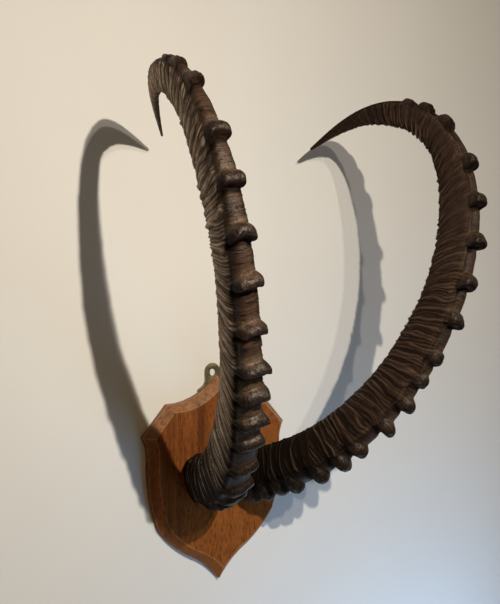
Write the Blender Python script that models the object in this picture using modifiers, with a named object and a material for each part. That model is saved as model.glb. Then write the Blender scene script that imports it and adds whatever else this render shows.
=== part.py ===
"""Pair of ibex horns screwed to a small oak wall shield, with a hanger plate behind its top.

The origin is on the back face of the shield, level with the middle of the horns' bases.
+X is right as one faces the wall, +Y goes into the wall and +Z is up.
"""
import math

import bmesh
import bpy
import numpy as np
from mathutils import Matrix, Vector

MM = 0.001
OBJECT_NAME = "mounted_ibex_horns"

# Clearance left between pieces that touch.
GAP = 0.0003

# Shield: thickness, height of its square side wall, and how far the front bevel comes in.
SHIELD_THICKNESS = 0.016
SHIELD_SIDE = 0.0065
SHIELD_BEVEL = 0.009
ARC_STEPS = 6
# Right half of the shield's outline from the point of the top down to the tip, in mm.
# Each row is across, up, and the bulge of the arc to the next row, hollow where negative.
SHIELD_HALF = [
    (0.0, 127.0, -9.0),
    (74.0, 97.0, 0.0),
    (109.0, 60.5, -2.0),
    (102.0, 34.0, 5.0),
    (88.0, -52.0, 3.0),
    (43.0, -91.0, -3.2),
    (0.0, -126.0, 0.0),
]

# Hanger plate: an eye on a neck that widens to a screwed foot, let in flush behind the shield.
PLATE_THICKNESS = 0.0025
PLATE_CENTRE_X = -0.003
EYE_CENTRE_Z = 0.1315
EYE_RADIUS = 0.0112
EYE_HOLE_RADIUS = 0.005
NECK_BOTTOM_Z = 0.1205
SHOULDER_Z = 0.1125
FOOT_HALF_WIDTH = 0.0228
FOOT_BOTTOM_Z = 0.0915
FOOT_CORNER = 0.0035
PLATE_SCREW_ACROSS = 0.0145
PLATE_SCREW_Z = 0.1015

# Countersunk wood screws: head radius, head height, shank radius, length.
PLATE_SCREW = (0.0031, 0.0018, 0.0014, 0.0115)
HORN_SCREW = (0.0047, 0.0030, 0.0023, 0.0400)
SCREW_SIDES = 14
SLOT_WIDTH = 0.0009
SLOT_DEPTH = 0.0007
HORN_SCREW_SPREAD = 0.013

# Middle line of each horn from base to tip, in mm: across, out from the wall, up.
HORN_ROUTES = {
    "left": [(33, 21, 4), (74, 116, 35), (114, 192, 117), (152, 239, 215),
             (182, 256, 315), (188, 210, 417), (161, 119, 448), (98, 37, 411)],
    "right": [(37, 17, -2), (66, 112, 36), (109, 188, 108), (155, 230, 208),
              (191, 234, 324), (191, 196, 424), (179, 102, 456), (136, 38, 417)],
}
# Knobs across the front of each horn, in mm: distance of the crest from the base along the
# horn, height, reach towards the base and towards the tip, and then the share of a flap: 0 is
# a round roll and 1 has a long slope on its tip side.
HORN_KNOBS = {
    "left": [(17, 4.5, 7, 8, 0.2), (38, 5.0, 7, 9, 0.3), (62, 5.0, 8, 10, 0.3),
             (87, 4.6, 8, 11, 0.5), (115, 4.4, 8, 13, 0.6), (154, 3.4, 8, 15, 0.7),
             (196, 6.0, 8, 13, 0.6), (227, 9.6, 8, 14, 0.8), (259, 9.2, 8, 13, 0.6),
             (288, 9.8, 8, 13, 0.8), (330, 8.4, 7, 11, 0.4), (376, 8.4, 8, 10, 0.3),
             (417, 7.6, 8, 10, 0.3), (459, 6.6, 8, 9, 0.3), (501, 6.6, 8, 12, 0.5),
             (558, 4.8, 8, 11, 0.4), (591, 2.6, 8, 9, 0.5), (613, 2.0, 8, 8, 0.5)],
    "right": [(10, 3.6, 6, 7, 0.2), (31, 5.0, 7, 8, 0.3), (52, 4.0, 7, 8, 0.4),
              (72, 7.4, 8, 8, 0.3), (106, 7.8, 8, 10, 0.5), (135, 10.2, 8, 10, 0.5),
              (158, 7.6, 8, 9, 0.4), (197, 10.6, 8, 13, 0.7), (229, 9.8, 8, 12, 0.7),
              (258, 3.6, 7, 10, 0.5), (287, 4.4, 7, 11, 0.6), (333, 9.4, 8, 11, 0.6),
              (376, 8.0, 8, 8, 0.1), (424, 9.0, 8, 8, 0.1), (471, 8.8, 8, 8, 0.1),
              (515, 8.6, 8, 8, 0.2), (567, 7.4, 8, 9, 0.3), (596, 6.0, 8, 9, 0.4),
              (619, 3.6, 8, 8, 0.5)],
}
# How far a knob's crest hangs over towards the base.
KNOB_LEAN = 0.0018
# Crests arch towards the tip at the middle of the front: rise there, and sag 60 degrees round.
KNOB_RISE = {"left": 0.0035, "right": 0.0005}
KNOB_SAG = 0.0055
# Length of the knobs along the horn against the one listed.
KNOB_LENGTH = {"left": 1.0, "right": 1.22}
# How far the lower knobs rise gently from the inner side, in place of a round end.
KNOB_SOFTNESS = {"left": 0.0, "right": 1.0}
# Where along a knob its sections stand, in shares of its reach towards the base and the tip.
KNOB_BASE_SECTIONS = (1.02, 0.75, 0.15)
KNOB_TIP_SECTIONS = (0.45, 1.0)

# How far along the horn the section is given, as shares of its length, and there its depth,
# the widths of its front and rear, how far its front is turned outwards and how far it rolls
# towards the other horn, in degrees, and how far the front sinks between the knobs.
SECTION_AT = (0.0, 0.3, 0.6, 0.85, 1.0)
SECTION_DEPTH = (0.0640, 0.0579, 0.0509, 0.0304, 0.0035)
SECTION_FRONT = (0.0520, 0.0400, 0.0302, 0.0140, 0.0031)
SECTION_REAR = (0.0405, 0.0262, 0.0234, 0.0098, 0.0022)
FRONT_TURN = (-3.5, 2.8, 9.4, 13.6, 16.0)
FRONT_ROLL = (25.0, -1.8, -0.5, -1.9, -0.7)
FRONT_SINK = (0.0034, 0.0022, 0.0017, 0.0, 0.0)
SECTION_POWER = 0.8
RING_POINTS = 16
TIP_SPACING = 0.016
HORN_ROOT = 0.025


def clear_scene():
    """Remove every object that the scene starts with."""
    for item in list(bpy.data.objects):
        bpy.data.objects.remove(item, do_unlink=True)


def make_collection(name):
    """Make a collection in the scene."""
    collection = bpy.data.collections.new(name)
    bpy.context.scene.collection.children.link(collection)
    return collection


def make_material(name, colour, roughness, metallic):
    """Make a Principled material."""
    material = bpy.data.materials.new(name)
    material.use_nodes = True
    shader = material.node_tree.nodes["Principled BSDF"]
    shader.inputs["Base Color"].default_value = (*colour, 1.0)
    shader.inputs["Roughness"].default_value = roughness
    shader.inputs["Metallic"].default_value = metallic
    material.diffuse_color = (*colour, 1.0)
    return material


def add_object(name, data, collection, material=None):
    """Put mesh or curve data in a collection as a new object."""
    item = bpy.data.objects.new(name, data)
    collection.objects.link(item)
    if material is not None:
        data.materials.append(material)
    return item


def mesh_from(bm, name):
    """Turn a bmesh into mesh data with its faces pointing out."""
    bmesh.ops.recalc_face_normals(bm, faces=bm.faces[:])
    mesh = bpy.data.meshes.new(name)
    bm.to_mesh(mesh)
    bm.free()
    return mesh


def cut(target, cutter, name):
    """Take a cutter away from a piece."""
    modifier = target.modifiers.new(name, "BOOLEAN")
    modifier.operation = "DIFFERENCE"
    modifier.solver = "EXACT"
    modifier.object = cutter


def hide_cutter(item):
    """Keep a cutter out of renders and show it as wires."""
    item.hide_render = True
    item.display_type = "WIRE"


def arc(start, end, bulge, steps):
    """Points from start up to, not with, end on an arc that bulges to the left of travel."""
    start = np.array(start, float)
    end = np.array(end, float)
    chord = end - start
    half = np.hypot(*chord) / 2
    share = np.arange(steps) / steps
    if abs(bulge) < 1e-9:
        return start + chord * share[:, None]
    radius = (half ** 2 + bulge ** 2) / (2 * abs(bulge))
    along = (2 * share - 1) * math.asin(half / radius)
    left = np.array([-chord[1], chord[0]]) / (2 * half) * math.copysign(1, bulge)
    forward = chord / (2 * half)
    middle = (start + end) / 2 - left * (radius - abs(bulge))
    return middle + radius * (np.sin(along)[:, None] * forward + np.cos(along)[:, None] * left)


def shield_corners(inset):
    """Corners of the shield's right half, moved in by inset along the mitre at each corner."""
    rows = np.array([row[:2] for row in SHIELD_HALF]) * MM
    bulges = np.array([row[2] for row in SHIELD_HALF]) * MM
    arcs = [arc(rows[i], rows[i + 1], bulges[i], 24) for i in range(len(rows) - 1)]
    leaving = [points[1] - points[0] for points in arcs]
    arriving = [rows[i + 1] - arcs[i][-1] for i in range(len(arcs))]
    mirror = np.array([-1, 1])
    before = [-leaving[0] * mirror] + arriving
    after = leaving + [-arriving[-1] * mirror]
    moved = []
    for row, path_in, path_out in zip(rows, before, after):
        normals = []
        for path in (path_in, path_out):
            normals.append(np.array([path[1], -path[0]]) / np.hypot(*path))
        mitre = (normals[0] + normals[1]) / (1 + normals[0] @ normals[1])
        moved.append(row + mitre * inset)
    shares = np.hypot(*np.diff(np.array(moved), axis=0).T) / np.hypot(*np.diff(rows, axis=0).T)
    return np.array(moved), bulges[:-1] * shares


def shield_outline(inset):
    """The whole outline as points across and up, clockwise from the top point."""
    corners, bulges = shield_corners(inset)
    right = np.concatenate([
        arc(corners[i], corners[i + 1], bulges[i], ARC_STEPS) for i in range(len(bulges))
    ])
    tip = corners[-1:]
    left = right[:0:-1] * [-1, 1]
    return np.concatenate([right, tip, left])


def make_shield(collection, material):
    """Board with a square side wall and a wide mitred bevel round its front."""
    bm = bmesh.new()
    outer = shield_outline(0.0)
    inner = shield_outline(SHIELD_BEVEL)
    loops = []
    for outline, depth in ((outer, 0.0), (outer, SHIELD_SIDE), (inner, SHIELD_THICKNESS)):
        loops.append([bm.verts.new((x, -depth, z)) for x, z in outline])
    count = len(outer)
    for near, far in zip(loops, loops[1:]):
        for i in range(count):
            bm.faces.new((near[i], near[(i + 1) % count], far[(i + 1) % count], far[i]))
    bm.faces.new(loops[0])
    bm.faces.new(loops[-1])
    return add_object("shield_board", mesh_from(bm, "shield_board"), collection, material)


def plate_outline(grow):
    """Outline of the hanger plate, grown by a clearance, as points across and up."""
    eye = EYE_RADIUS + grow
    turns = [math.pi * i / 14 for i in range(15)]
    top = [(eye * math.cos(turn), EYE_CENTRE_Z + eye * math.sin(turn)) for turn in turns]
    corner = FOOT_CORNER
    side = FOOT_HALF_WIDTH + grow
    bottom = FOOT_BOTTOM_Z - grow
    shoulder = arc((-eye, NECK_BOTTOM_Z), (-side + corner, SHOULDER_Z + grow), 0.0012, 3)
    round_top = arc((-side + corner, SHOULDER_Z + grow), (-side, SHOULDER_Z - corner), -0.001, 3)
    round_low = arc((-side, bottom + corner), (-side + corner, bottom), -0.001, 3)
    left = [tuple(p) for p in (*shoulder, *round_top)] + [(-side, SHOULDER_Z - corner)]
    left += [tuple(p) for p in round_low] + [(-side + corner, bottom)]
    right = [(-x, z) for x, z in reversed(left)]
    return top + left + right


def circle_outline(x, z, radius, sides):
    """A circle as points across and up."""
    turns = [2 * math.pi * i / sides for i in range(sides)]
    return [(x + radius * math.cos(turn), z + radius * math.sin(turn)) for turn in turns]


def flat_piece(name, outlines, thickness, collection, material=None):
    """A flat plate upright in XZ, with its back on y = 0 and inner outlines as holes."""
    curve = bpy.data.curves.new(name + "_outline", "CURVE")
    curve.dimensions = "2D"
    curve.fill_mode = "BOTH"
    curve.extrude = thickness / 2
    for outline in outlines:
        spline = curve.splines.new("POLY")
        spline.points.add(len(outline) - 1)
        for point, (x, z) in zip(spline.points, outline):
            point.co = (x, z, 0.0, 1.0)
        spline.use_cyclic_u = True
    drawn = bpy.data.objects.new(name + "_outline", curve)
    collection.objects.link(drawn)
    drawn.matrix_world = Matrix.Translation((PLATE_CENTRE_X, -thickness / 2, 0)) @ Matrix.Rotation(
        math.pi / 2, 4, "X")
    bpy.context.view_layer.update()
    evaluated = drawn.evaluated_get(bpy.context.evaluated_depsgraph_get())
    mesh = bpy.data.meshes.new_from_object(evaluated)
    bm = bmesh.new()
    bm.from_mesh(mesh)
    bmesh.ops.remove_doubles(bm, verts=bm.verts[:], dist=0.00001)
    bmesh.ops.recalc_face_normals(bm, faces=bm.faces[:])
    bm.to_mesh(mesh)
    bm.free()
    mesh.name = name
    item = add_object(name, mesh, collection, material)
    item.matrix_world = drawn.matrix_world.copy()
    bpy.data.objects.remove(drawn, do_unlink=True)
    bpy.data.curves.remove(curve)
    return item


def make_plate(collection, material):
    """Hanger plate with its eye."""
    outlines = [plate_outline(0.0), circle_outline(0.0, EYE_CENTRE_Z, EYE_HOLE_RADIUS, 16)]
    return flat_piece("hanger_plate", outlines, PLATE_THICKNESS, collection, material)


def turned(name, profile, collection, material, place):
    """A round piece turned from a profile of radius and height, with its top towards the wall."""
    mesh = bpy.data.meshes.new(name)
    edges = [(i, i + 1) for i in range(len(profile) - 1)]
    mesh.from_pydata([(radius, 0.0, height) for radius, height in profile], edges, [])
    item = add_object(name, mesh, collection, material)
    modifier = item.modifiers.new("turn", "SCREW")
    modifier.axis = "Z"
    modifier.steps = SCREW_SIDES
    modifier.render_steps = SCREW_SIDES
    modifier.use_merge_vertices = True
    modifier.merge_threshold = 0.00001
    item.location = place
    item.rotation_euler = (-math.pi / 2, 0.0, 0.0)
    return item


def screw_profile(sizes, grow):
    """Profile of a countersunk screw, head at the top, grown by a clearance."""
    head, head_height, shank, length = sizes
    return [
        (0.0, grow),
        (head + grow, grow),
        (shank + grow, -head_height - grow / 2),
        (shank + grow, -length + 2 * shank - grow),
        (0.0, -length - 2 * grow),
    ]


def make_screw(name, sizes, place, slot_turn, groups, material):
    """A slotted countersunk screw, and the cutter that makes its hole."""
    parts, cutters = groups
    screw = turned(name, screw_profile(sizes, 0.0), parts, material, place)
    bpy.ops.mesh.primitive_cube_add(size=1.0, location=place, rotation=(0.0, slot_turn, 0.0))
    slot = bpy.context.object
    slot.name = name + "_slot_cutter"
    slot.scale = (4 * sizes[0], 2 * SLOT_DEPTH, SLOT_WIDTH)
    for collection in list(slot.users_collection):
        collection.objects.unlink(slot)
    cutters.objects.link(slot)
    hide_cutter(slot)
    cut(screw, slot, "slot")
    hole = turned(name + "_hole_cutter", screw_profile(sizes, GAP), cutters, None, place)
    hide_cutter(hole)
    return hole


def natural_spline(points, at):
    """Natural cubic spline through evenly numbered points, read at shares of its run."""
    count = len(points)
    system = np.eye(count) * 4 + np.eye(count, k=1) + np.eye(count, k=-1)
    system[0, :2] = (1, 0)
    system[-1, -2:] = (0, 1)
    bend = np.zeros_like(points)
    bend[1:-1] = 6 * (points[2:] - 2 * points[1:-1] + points[:-2])
    bend = np.linalg.solve(system, bend)
    place = np.asarray(at) * (count - 1)
    cell = np.clip(place.astype(int), 0, count - 2)
    b = (place - cell)[:, None]
    a = 1 - b
    curved = (a ** 3 - a) * bend[cell] + (b ** 3 - b) * bend[cell + 1]
    return a * points[cell] + b * points[cell + 1] + curved / 6


def horn_line(side):
    """Middle line of a horn: distances along it, points and directions."""
    sign = -1 if side == "left" else 1
    route = np.array(HORN_ROUTES[side], float) * MM * (sign, -1, 1)
    points = natural_spline(route, np.linspace(0, 1, 1201))
    lengths = np.hypot.reduce(np.diff(points, axis=0), axis=1)
    distance = np.concatenate([[0.0], np.cumsum(lengths)])
    direction = np.gradient(points, distance, axis=0)
    return distance, points, direction


def horn_stations(side, length):
    """Distances along the horn at which a section stands."""
    stations = [-HORN_ROOT]
    for place, _, to_base, to_tip, _ in HORN_KNOBS[side]:
        stations += [(place - to_base * part) * MM for part in KNOB_BASE_SECTIONS]
        stations += [(place + to_tip * part) * MM for part in KNOB_TIP_SECTIONS]
    last = max(stations)
    rest = int((length - last) / TIP_SPACING)
    stations += list(np.linspace(last, length - 0.004, rest + 1)[1:])
    kept = []
    for station in sorted(stations):
        if not kept or station - kept[-1] > 0.0020:
            kept.append(station)
    return np.array(kept)


def smooth(value):
    """Smooth step between 0 and 1."""
    value = np.clip(value, 0, 1)
    return value * value * (3 - 2 * value)


def knob_relief(side, stations, run, angle):
    """Height of the knobs, and their share of it, for each station and angle.

    The run is the station as a share of the horn's length. Along the horn a knob is steep
    towards the base and slopes towards the tip. Round the horn it is full over the front, fades
    and shortens on the outer side and ends as a ball at the inner corner, or rises gently from
    the inner side where it is soft.
    """
    degrees = np.degrees(np.arctan2(np.sin(angle), np.cos(angle)))
    outer = 1 - smooth((degrees - 24) / 36)
    inner = np.sqrt(np.clip(1 - np.clip((-degrees - 22) / 28, 0, 1) ** 2.4, 0, 1))
    soft = KNOB_SOFTNESS[side] * (1 - smooth((run - 0.36) / 0.12))
    inner = inner + (1 - smooth(-degrees / 46) - inner) * soft
    ball = 0.86 + 0.30 * np.exp(-((degrees + 34) / 15) ** 2) * (1 - soft)
    reach = (0.55 + 0.45 * np.minimum(outer, inner)) * KNOB_LENGTH[side]
    reach = reach * (0.84 + 0.16 * np.exp(-((degrees + 36) / 20) ** 2))
    height = np.zeros(np.broadcast_shapes(stations.shape, angle.shape))
    share = np.zeros_like(height)
    for place, tall, to_base, to_tip, flap in HORN_KNOBS[side]:
        offset = (stations - place * MM) / MM
        behind = np.abs(np.minimum(offset, 0) / (to_base * reach))
        below = np.clip(1 - behind ** 2.2, 0, 1) ** 0.45
        ahead = np.clip(1 - (np.maximum(offset, 0) / (7.2 * reach)) ** 2.1, 0, 1) ** 0.5
        slope = (0.18 + 0.6 * flap) * np.clip(1 - offset / to_tip, 0, 1) ** 2
        part = np.where(offset < 0, below, (ahead ** 4 + slope ** 4) ** 0.25) * outer * inner
        height = np.maximum(height, tall * MM * part * ball)
        share = np.maximum(share, np.clip(part, 0, 1))
    return height, share


def knob_bow(side, angle):
    """How far each column of a section stands towards the base, so that crests arch."""
    degrees = np.degrees(np.arctan2(np.sin(angle), np.cos(angle)))
    bow = KNOB_SAG * np.clip(degrees / 60, -1.4, 1.4) ** 2 - KNOB_RISE[side]
    return bow * smooth((110 - np.abs(degrees)) / 40)


def signed_power(value, power):
    """Power of a value that keeps its sign."""
    return np.sign(value) * np.abs(value) ** power


def horn_sections(side):
    """All section points of a horn as an array of rings, and its tip."""
    sign = -1 if side == "left" else 1
    distance, points, direction = horn_line(side)
    length = distance[-1]
    stations = horn_stations(side, length)
    inside = np.clip(stations, 0, length)
    centre = np.stack([np.interp(inside, distance, points[:, i]) for i in range(3)], axis=1)
    along = np.stack([np.interp(inside, distance, direction[:, i]) for i in range(3)], axis=1)
    along /= np.linalg.norm(along, axis=1)[:, None]
    centre += along * (stations - inside)[:, None]
    share = inside / length
    turn = np.radians(np.interp(share, SECTION_AT, FRONT_TURN))
    level = np.stack([sign * np.cos(turn), np.sin(turn), 0 * turn], axis=1)
    level -= along * np.sum(along * level, axis=1)[:, None]
    level /= np.linalg.norm(level, axis=1)[:, None]
    upright = -sign * np.cross(along, level)
    roll = np.radians(np.interp(share, SECTION_AT, FRONT_ROLL))[:, None]
    front = upright * np.cos(roll) - level * np.sin(roll)
    across = level * np.cos(roll) + upright * np.sin(roll)

    depth = np.interp(share, SECTION_AT, SECTION_DEPTH)[:, None]
    front_width = np.interp(share, SECTION_AT, SECTION_FRONT)[:, None]
    rear_width = np.interp(share, SECTION_AT, SECTION_REAR)[:, None]
    sink = np.interp(share, SECTION_AT, FRONT_SINK)[:, None]
    angle = np.linspace(0, 2 * np.pi, RING_POINTS, endpoint=False)[None, :]
    forward = signed_power(np.cos(angle), SECTION_POWER)
    sideways = signed_power(np.sin(angle), SECTION_POWER)
    mix = (1 + forward) / 2
    height, knob = knob_relief(side, stations[:, None], share[:, None], angle)
    face = smooth(np.where(np.sin(angle) > 0, (np.cos(angle) - 0.50) / 0.26,
                           (np.cos(angle) - 0.30) / 0.50))
    push = height - sink * face * (1 - knob)
    size = np.hypot(np.cos(angle), 0.62 * np.sin(angle))
    out = depth / 2 * forward + push * np.cos(angle) / size
    wide = (rear_width + (front_width - rear_width) * mix) / 2 * sideways
    wide = wide + push * 0.62 * np.sin(angle) / size
    lean = KNOB_LEAN * knob * np.clip(height / 0.008, 0, 1)
    clear = smooth((stations[:, None] + 0.01) / 0.03) * smooth((0.88 - share[:, None]) / 0.08)
    lean = lean + knob_bow(side, angle) * clear
    rings = centre[:, None] + out[..., None] * front[:, None] + wide[..., None] * across[:, None]
    rings = rings - lean[..., None] * along[:, None]
    return rings, points[-1]


def make_horn(side, collection, material):
    """One horn: sections joined into a skin, closed at the tip and cut flat on the shield."""
    name = "horn_" + side
    rings, tip = horn_sections(side)
    bm = bmesh.new()
    loops = [[bm.verts.new(point) for point in ring] for ring in rings.tolist()]
    for near, far in zip(loops, loops[1:]):
        for i in range(RING_POINTS):
            j = (i + 1) % RING_POINTS
            bm.faces.new((near[i], near[j], far[j], far[i]))
    end = bm.verts.new(tip.tolist())
    for i in range(RING_POINTS):
        bm.faces.new((loops[-1][i], loops[-1][(i + 1) % RING_POINTS], end))
    bm.faces.new(loops[0])
    board_face = Vector((0.0, -SHIELD_THICKNESS - GAP, 0.0))
    everything = bm.verts[:] + bm.edges[:] + bm.faces[:]
    bmesh.ops.bisect_plane(bm, geom=everything, dist=0.00001, plane_co=board_face,
                           plane_no=(0.0, 1.0, 0.0), clear_outer=True)
    open_edges = [edge for edge in bm.edges if edge.is_boundary]
    bmesh.ops.contextual_create(bm, geom=open_edges)
    horn = add_object(name, mesh_from(bm, name), collection, material)
    horn.data.shade_smooth()
    horn.data.set_sharp_from_angle(angle=math.radians(50))
    return horn


def main():
    """Build the shield, the horns, the hanger plate and the screws that hold them."""
    clear_scene()
    parts = make_collection(OBJECT_NAME)
    cutters = make_collection("cutters")
    groups = (parts, cutters)
    horn_material = make_material("horn_material", (0.055, 0.036, 0.026), 0.42, 0.0)
    oak_material = make_material("oak_material", (0.30, 0.115, 0.030), 0.45, 0.0)
    plate_material = make_material("plate_material", (0.20, 0.19, 0.15), 0.45, 1.0)
    screw_material = make_material("screw_material", (0.30, 0.28, 0.24), 0.40, 1.0)

    shield = make_shield(parts, oak_material)
    plate = make_plate(parts, plate_material)
    pocket = flat_piece("plate_pocket_cutter", [plate_outline(GAP)],
                        2 * (PLATE_THICKNESS + GAP), cutters)
    pocket.location.y += PLATE_THICKNESS + GAP
    hide_cutter(pocket)
    cut(shield, pocket, "pocket")

    for side, sign in (("left", -1), ("right", 1)):
        place = (PLATE_CENTRE_X + sign * PLATE_SCREW_ACROSS, -GAP, PLATE_SCREW_Z)
        hole = make_screw("hanger_screw_" + side, PLATE_SCREW, place, 0.6 * sign, groups,
                          screw_material)
        cut(plate, hole, "screw_hole_" + side)
        cut(shield, hole, "screw_hole_" + side)

    for side, sign in (("left", -1), ("right", 1)):
        horn = make_horn(side, parts, horn_material)
        base_x = sign * HORN_ROUTES[side][0][0] * MM
        for level, up in (("upper", 1), ("lower", -1)):
            place = (base_x, -GAP, up * HORN_SCREW_SPREAD)
            name = "horn_screw_" + side + "_" + level
            hole = make_screw(name, HORN_SCREW, place, 0.9 * up * sign, groups, screw_material)
            cut(shield, hole, "screw_hole_" + side + "_" + level)
            cut(horn, hole, "screw_hole_" + level)


if __name__ == "__main__":
    main()
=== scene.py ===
"""Mounted ibex horns: grown surfaces, oak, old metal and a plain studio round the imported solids.

The layout is that of an add-on: settings, one operator for each group of pieces and one for the
stage, and a panel that lists them. Everything is in metres, with +X right as one faces the wall,
+Y into the wall and +Z up.
"""

import math
from types import SimpleNamespace

import bmesh
import bpy
import numpy as np
from mathutils import Matrix, Vector


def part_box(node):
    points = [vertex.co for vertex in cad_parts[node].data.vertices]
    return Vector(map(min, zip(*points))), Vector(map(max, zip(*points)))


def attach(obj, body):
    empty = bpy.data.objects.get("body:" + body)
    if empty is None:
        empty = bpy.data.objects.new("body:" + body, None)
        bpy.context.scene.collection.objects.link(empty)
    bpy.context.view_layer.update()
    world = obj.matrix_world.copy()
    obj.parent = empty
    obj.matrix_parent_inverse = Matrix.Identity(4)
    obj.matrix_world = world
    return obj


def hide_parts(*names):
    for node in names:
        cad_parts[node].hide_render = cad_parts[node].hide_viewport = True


bl_info = {
    "name": "Mounted Ibex Horns",
    "version": (1, 0, 0),
    "blender": (4, 5, 0),
    "location": "View3D > Sidebar > Ibex Horns",
    "description": "Horns with knobbed fronts on an oak wall shield, with a plain studio",
    "category": "Add Mesh",
}

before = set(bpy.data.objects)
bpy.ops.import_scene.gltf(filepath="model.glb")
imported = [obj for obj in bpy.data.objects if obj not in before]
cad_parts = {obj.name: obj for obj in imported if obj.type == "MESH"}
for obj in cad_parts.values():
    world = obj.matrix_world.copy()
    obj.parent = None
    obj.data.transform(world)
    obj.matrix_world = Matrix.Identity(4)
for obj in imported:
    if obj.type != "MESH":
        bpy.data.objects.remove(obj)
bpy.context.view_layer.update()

MM = 0.001
# Side of the middle that each horn is on, the start of its noise, and how far painted shade
# darkens its front and its knobs.
SIDES = {"left": -1, "right": 1}
SEEDS = {"left": 3, "right": 11}
PAINTED_FRONT_SHADE = {"left": 0.0, "right": 1.0}

# Front of the shield board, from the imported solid, and the clearance that touching pieces keep.
BOARD_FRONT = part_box("shield_board")[0].y
GAP = 0.0003

# Middle line of each horn from base to tip, in mm: across, out from the wall, up.
HORN_ROUTES = {
    "left": [(33, 21, 4), (74, 116, 35), (114, 192, 117), (152, 239, 215),
             (182, 256, 315), (188, 210, 417), (161, 119, 448), (98, 37, 411)],
    "right": [(37, 17, -2), (66, 112, 36), (109, 188, 108), (155, 230, 208),
              (191, 234, 324), (191, 196, 424), (179, 102, 456), (136, 38, 417)],
}
# Knobs across the front of each horn, in mm: distance of the crest from the base along the
# horn, height, reach towards the base and towards the tip, and then the share of a flap: 0 is
# a round roll and 1 has a long slope on its tip side.
HORN_KNOBS = {
    "left": [(17, 4.5, 7, 8, 0.2), (38, 5.0, 7, 9, 0.3), (62, 5.0, 8, 10, 0.3),
             (87, 4.6, 8, 11, 0.5), (115, 4.4, 8, 13, 0.6), (154, 3.4, 8, 15, 0.7),
             (196, 6.0, 8, 13, 0.6), (227, 9.6, 8, 14, 0.8), (259, 9.2, 8, 13, 0.6),
             (288, 9.8, 8, 13, 0.8), (330, 8.4, 7, 11, 0.4), (376, 8.4, 8, 10, 0.3),
             (417, 7.6, 8, 10, 0.3), (459, 6.6, 8, 9, 0.3), (501, 6.6, 8, 12, 0.5),
             (558, 4.8, 8, 11, 0.4), (591, 2.6, 8, 9, 0.5), (613, 2.0, 8, 8, 0.5)],
    "right": [(10, 3.6, 6, 7, 0.2), (31, 5.0, 7, 8, 0.3), (52, 4.0, 7, 8, 0.4),
              (72, 7.4, 8, 8, 0.3), (106, 7.8, 8, 10, 0.5), (135, 10.2, 8, 10, 0.5),
              (158, 7.6, 8, 9, 0.4), (197, 10.6, 8, 13, 0.7), (229, 9.8, 8, 12, 0.7),
              (258, 3.6, 7, 10, 0.5), (287, 4.4, 7, 11, 0.6), (333, 9.4, 8, 11, 0.6),
              (376, 8.0, 8, 8, 0.1), (424, 9.0, 8, 8, 0.1), (471, 8.8, 8, 8, 0.1),
              (515, 8.6, 8, 8, 0.2), (567, 7.4, 8, 9, 0.3), (596, 6.0, 8, 9, 0.4),
              (619, 3.6, 8, 8, 0.5)],
}
# How far along the horn the section is given, as shares of its length, and there its depth,
# the widths of its front and rear, how far its front is turned outwards and how far it rolls
# towards the other horn, in degrees, and how far the front sinks between the knobs.
SECTION_AT = (0.0, 0.3, 0.6, 0.85, 1.0)
SECTION_DEPTH = (0.0640, 0.0579, 0.0509, 0.0304, 0.0035)
SECTION_FRONT = (0.0520, 0.0400, 0.0302, 0.0140, 0.0031)
SECTION_REAR = (0.0405, 0.0262, 0.0234, 0.0098, 0.0022)
FRONT_TURN = (-3.5, 2.8, 9.4, 13.6, 16.0)
FRONT_ROLL = (25.0, -1.8, -0.5, -1.9, -0.7)
FRONT_SINK = (0.0034, 0.0022, 0.0017, 0.0012, 0.0)
# Power of the sine and cosine that rounds the section, and the sine's share in the outward
# direction, in which knobs and rings stand out.
SECTION_POWER = 0.8
SIDEWAYS_SHARE = 0.62

# Crests arch towards the tip at the middle of the front: rise there, sag 60 degrees round, and
# how much further the upper knobs' outer ends droop.
KNOB_RISE = {"left": 0.0035, "right": 0.0005}
KNOB_SAG = 0.0055
UPPER_DROOP = 0.0080
# Length of the knobs along the horn against the one listed.
KNOB_LENGTH = {"left": 1.0, "right": 1.22}
# How far the lower knobs rise gently from the inner side, in place of a round end.
KNOB_SOFTNESS = {"left": 0.0, "right": 1.0}
# Reach in mm of the round roll on a knob's tip side, and of the lip where it ends.
ROLL_REACH = 7.2
LIP_REACH = 7.4
# How far a crest wanders along the horn, and the height from which a knob has its full lean.
CREST_WANDER = 0.0026
FULL_LEAN_HEIGHT = 0.008

# Changes round the horn: where each starts and how wide it is, in degrees from the middle of
# the front. Outer ones are counted to the outer side, inner ones to the inner side. They are the
# ends of hard and soft knobs, the start and end of the folds, and the ends of the worn front, of
# the calm inner side, where the rings are low, and of the lips.
KNOB_OUTER_END = (24, 36)
KNOB_INNER_END = (22, 28)
SOFT_INNER_END = (0, 46)
FOLD_OUTER = ((10, 20), (44, 70))
FOLD_INNER = ((24, 20), (48, 80))
FRONT_OUTER_END = (36, 30)
FRONT_INNER_END = (24, 26)
CALM_OUTER_END = (-20, 40)
CALM_INNER_END = (90, 38)
LIP_OUTER_END = (56, 30)
LIP_INNER_END = (38, 14)
# Bells round the horn: their middle and width, in degrees that are negative on the inner side.
# They are the ball at a knob's inner end, the place where knobs are longest, the strands and the
# rubbed rim.
BALL_BELL = (-34, 15)
LONG_BELL = (-36, 20)
STRAND_BELL = (-38, 14)
RIM_BELL = (-45, 4.5)
# The front's hollow and the dip behind its outer corner go by the cosine of the angle.
HOLLOW_OUTER_START = (0.50, 0.26)
HOLLOW_INNER_START = (0.30, 0.50)
CORNER_BELL = (0.60, 0.10)
# Changes along the horn: where each starts and how wide it is, in shares of the length.
SOFT_KNOBS_END = (0.36, 0.12)
STRONG_FOLDS_END = (0.36, 0.10)
CALM_SIDE_START = (0.46, 0.14)
CORNER_DIP_END = (0.50, 0.12)
DROOP_START = (0.50, 0.15)
CLEAR_ENDS_START = (0.64, 0.08)
TOP_FOLDS_START = (0.70, 0.12)
TIP_START = (0.78, 0.10)
PLAIN_TIP_START = (0.84, 0.09)

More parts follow.
